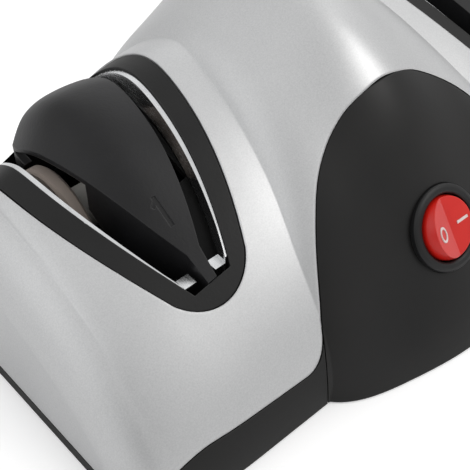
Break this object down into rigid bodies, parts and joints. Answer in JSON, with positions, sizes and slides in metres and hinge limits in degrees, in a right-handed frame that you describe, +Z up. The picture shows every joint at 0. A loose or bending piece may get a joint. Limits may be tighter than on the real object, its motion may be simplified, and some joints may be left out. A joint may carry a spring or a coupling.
{
  "type": "electric knife sharpener",
  "caption": "Low domed countertop electric knife sharpener: silver arms with leaf-shaped blade slots round raised guide blocks, a bulging black front panel and a round red rocker.",
  "frame": {"origin": "on the table under the middle of the body, in line with the middle of the arms", "axes": "+X along the drive shaft from stage 1 towards stage 2, +Y from the front panel to the back, +Z up"},
  "size_m": [0.2048, 0.1311, 0.0755],
  "materials": {
    "silver_shell": "satin silver paint over plastic",
    "panel_black": "semi-gloss black",
    "base_black": "fine matt texture",
    "frame_black": "fine matt texture",
    "block_black": "fine matt texture",
    "guide_steel": "bright spring steel",
    "bezel_black": "moulded nylon",
    "rocker_red": "glossy red",
    "mark_white": "printed",
    "switch_black": "moulded",
    "tab_brass": "stamped",
    "rubber_black": "matt",
    "shaft_steel": "ground",
    "coarse_grit": "coarse abrasive",
    "fine_grit": "fine abrasive",
    "sleeve_plastic": "natural",
    "zinc_steel": "zinc plated",
    "can_steel": "plated sheet",
    "cap_plastic": "moulded",
    "magnet_grey": "sintered",
    "carbon": "pressed carbon",
    "copper": "enamelled wire",
    "core_steel": "stacked sheet",
    "bronze": "sintered bronze",
    "board_green": "coated board",
    "component_black": "moulded",
    "capacitor_sleeve": "shrink sleeve",
    "terminal_green": "moulded",
    "lead_brown": "sheath",
    "lead_blue": "sheath",
    "lead_red": "sheath"
  },
  "bodies": {
    "casing": {"base_tray": "base_black", "blade_guide_1_inner": "guide_steel", "blade_guide_1_outer": "guide_steel", "blade_guide_2_inner": "guide_steel", "blade_guide_2_outer": "guide_steel", "board_screws": "zinc_steel", "capacitor": "capacitor_sleeve", "case_screws": "zinc_steel", "circuit_board": "board_green", "cord_inlet": "rubber_black", "filings_magnet_left": "magnet_grey", "filings_magnet_right": "magnet_grey", "front_panel": "panel_black", "guide_block_1": "block_black", "guide_block_2": "block_black", "motor_brush_back": "carbon", "motor_brush_front": "carbon", "motor_bush_left": "bronze", "motor_bush_right": "bronze", "motor_can": "can_steel", "motor_end_cap": "cap_plastic", "motor_lead_back": "lead_blue", "motor_lead_front": "lead_red", "motor_magnet_back": "magnet_grey", "motor_magnet_front": "magnet_grey", "motor_ring_left": "rubber_black", "motor_ring_right": "rubber_black", "motor_strap_left": "zinc_steel", "motor_strap_right": "zinc_steel", "rectifier": "component_black", "rubber_foot_back_left": "rubber_black", "rubber_foot_back_right": "rubber_black", "rubber_foot_front_left": "rubber_black", "rubber_foot_front_right": "rubber_black", "shaft_bush_left": "bronze", "shaft_bush_right": "bronze", "slot_frame_1": "frame_black", "slot_frame_2": "frame_black", "strap_screws": "zinc_steel", "switch_bezel": "bezel_black", "switch_body": "switch_black", "switch_lead_live": "lead_brown", "switch_lead_load": "lead_blue", "switch_tab_left": "tab_brass", "switch_tab_right": "tab_brass", "terminal_block": "terminal_green", "upper_casing": "silver_shell"},
    "rotor": {"armature_coils": "copper", "armature_core": "core_steel", "coarse_wheel_left": "coarse_grit", "coarse_wheel_right": "coarse_grit", "coarse_wheel_sleeve": "sleeve_plastic", "commutator": "copper", "drive_shaft": "shaft_steel", "fine_wheel_left": "fine_grit", "fine_wheel_right": "fine_grit", "fine_wheel_sleeve": "sleeve_plastic", "wheel_nuts": "zinc_steel"},
    "switch_rocker": {"rocker": "rocker_red", "rocker_marks": "mark_white"}
  },
  "joints": [
    {"name": "shaft_spin", "type": "hinge", "parent": "casing", "child": "rotor", "pos_m": [0, 0.014, 0.031], "axis": [1, 0, 0], "continuous": true},
    {"name": "rocker_tilt", "type": "hinge", "parent": "casing", "child": "switch_rocker", "pos_m": [0, -0.05207, 0.02877], "axis": [0, -0.5835, -0.8121], "range_deg": [0, 18]}
  ]
}
